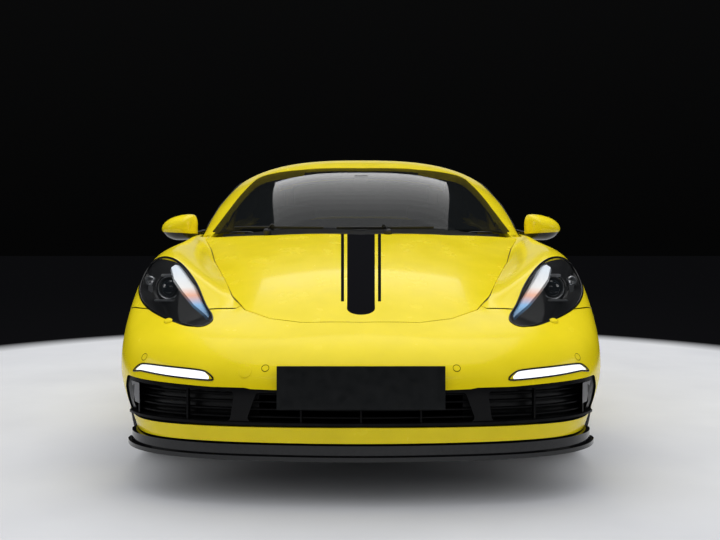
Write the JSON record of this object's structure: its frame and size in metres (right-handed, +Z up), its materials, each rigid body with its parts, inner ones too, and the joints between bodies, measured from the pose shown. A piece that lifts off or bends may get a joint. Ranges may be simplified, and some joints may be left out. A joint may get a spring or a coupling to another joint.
{
  "type": "two-seat mid-engined coupe car",
  "caption": "Yellow two-seat coupe with black centre stripe, opening doors, front lid and rear hatch, steered front wheels and rolling wheels.",
  "frame": {"origin": "on the ground under the middle of the car's box", "axes": "+Z up, the car faces -Y, +X is the car's left side"},
  "size_m": [1.992, 4.3964, 1.2802],
  "materials": {
    "paint": "high gloss solid yellow paint with clear coat",
    "gloss_black": "gloss black plastic",
    "black_plastic": "fine grained black plastic",
    "clear_glass": "clear laminated glass",
    "lamp_cover": "clear moulded lamp cover",
    "lamp_inner": "bright reflectors in black bezels",
    "white_lamp": "white light guide",
    "red_lamp": "red lamp glass",
    "tyre": "black rubber",
    "rim": "satin black painted alloy",
    "steel": "machined and coated steel",
    "aluminium": "cast aluminium",
    "leather": "black leather",
    "carpet": "black carpet and felt",
    "underbody": "dark coated panels",
    "tailpipe": "polished stainless steel",
    "plate_blank": "blank plate, black"
  },
  "bodies": {
    "root": {"front_bumper": "paint", "front_wing_left": "paint", "front_wing_right": "paint", "roof_panel": "paint", "windscreen": "clear_glass", "body_side_left": "paint", "body_side_right": "paint", "quarter_windows": "clear_glass", "rear_bumper": "paint", "tail_lamps": "red_lamp", "rear_spoiler": "paint", "rear_diffuser": "black_plastic", "exhaust_tips": "tailpipe", "front_grille": "gloss_black", "front_lip": "black_plastic", "number_plate": "plate_blank", "headlamps": "lamp_inner", "headlamp_lenses": "lamp_cover", "running_lamps": "white_lamp", "floor_pan": "underbody", "wheel_liners": "underbody", "luggage_tubs": "carpet", "engine_block": "aluminium", "front_suspension": "aluminium", "rear_suspension": "aluminium", "seats": "leather", "dashboard": "leather", "cowl_panel": "gloss_black", "front_frame": "underbody", "rear_frame": "underbody"},
    "door_left": {"door_left": "paint", "door_glass_left": "clear_glass", "mirror_left": "paint"},
    "door_right": {"door_right": "paint", "door_glass_right": "clear_glass", "mirror_right": "paint"},
    "lid": {"front_lid": "paint"},
    "hatch": {"rear_hatch": "paint", "hatch_glass": "clear_glass"},
    "knuckle_left": {"knuckle_left": "steel"},
    "knuckle_right": {"knuckle_right": "steel"},
    "steering_wheel": {"steering_wheel": "leather"},
    "wheel_front_left": {"tyre_front_left": "tyre", "rim_front_left": "rim"},
    "wheel_front_right": {"tyre_front_right": "tyre", "rim_front_right": "rim"},
    "wheel_rear_left": {"tyre_rear_left": "tyre", "rim_rear_left": "rim"},
    "wheel_rear_right": {"tyre_rear_right": "tyre", "rim_rear_right": "rim"}
  },
  "joints": [
    {"name": "door_left_swing", "type": "hinge", "parent": "root", "child": "door_left", "pos_m": [0.862, -0.5965, 0.55], "axis": [0, 0, -1], "range_deg": [0, 64]},
    {"name": "door_right_swing", "type": "hinge", "parent": "root", "child": "door_right", "pos_m": [-0.862, -0.5965, 0.55], "axis": [0, 0, 1], "range_deg": [0, 64]},
    {"name": "lid_lift", "type": "hinge", "parent": "root", "child": "lid", "pos_m": [0, -0.6365, 0.85], "axis": [-1, 0, 0], "range_deg": [0, 60]},
    {"name": "hatch_lift", "type": "hinge", "parent": "root", "child": "hatch", "pos_m": [0, 0.7085, 1.238], "axis": [1, 0, 0], "range_deg": [0, 68]},
    {"name": "steer_left", "type": "hinge", "parent": "root", "child": "knuckle_left", "pos_m": [0.745, -1.2715, 0.336], "axis": [0, 0, 1], "range_deg": [-30, 30]},
    {"name": "steer_right", "type": "hinge", "parent": "root", "child": "knuckle_right", "pos_m": [-0.745, -1.2715, 0.336], "axis": [0, 0, 1], "range_deg": [-30, 30]},
    {"name": "steering_wheel_turn", "type": "hinge", "parent": "root", "child": "steering_wheel", "pos_m": [0.35, -0.3565, 0.745], "axis": [0, 0.9135, 0.4067], "range_deg": [-420, 420]},
    {"name": "wheel_front_left_spin", "type": "hinge", "parent": "knuckle_left", "child": "wheel_front_left", "pos_m": [0.757, -1.2715, 0.336], "axis": [1, 0, 0], "continuous": true},
    {"name": "wheel_front_right_spin", "type": "hinge", "parent": "knuckle_right", "child": "wheel_front_right", "pos_m": [-0.757, -1.2715, 0.336], "axis": [1, 0, 0], "continuous": true},
    {"name": "wheel_rear_left_spin", "type": "hinge", "parent": "root", "child": "wheel_rear_left", "pos_m": [0.746, 1.2035, 0.347], "axis": [1, 0, 0], "continuous": true},
    {"name": "wheel_rear_right_spin", "type": "hinge", "parent": "root", "child": "wheel_rear_right", "pos_m": [-0.746, 1.2035, 0.347], "axis": [1, 0, 0], "continuous": true}
  ],
  "couplings": [
    {"joint": "steer_right", "follows": "steer_left", "ratio": 1},
    {"joint": "steering_wheel_turn", "follows": "steer_left", "ratio": 14}
  ]
}
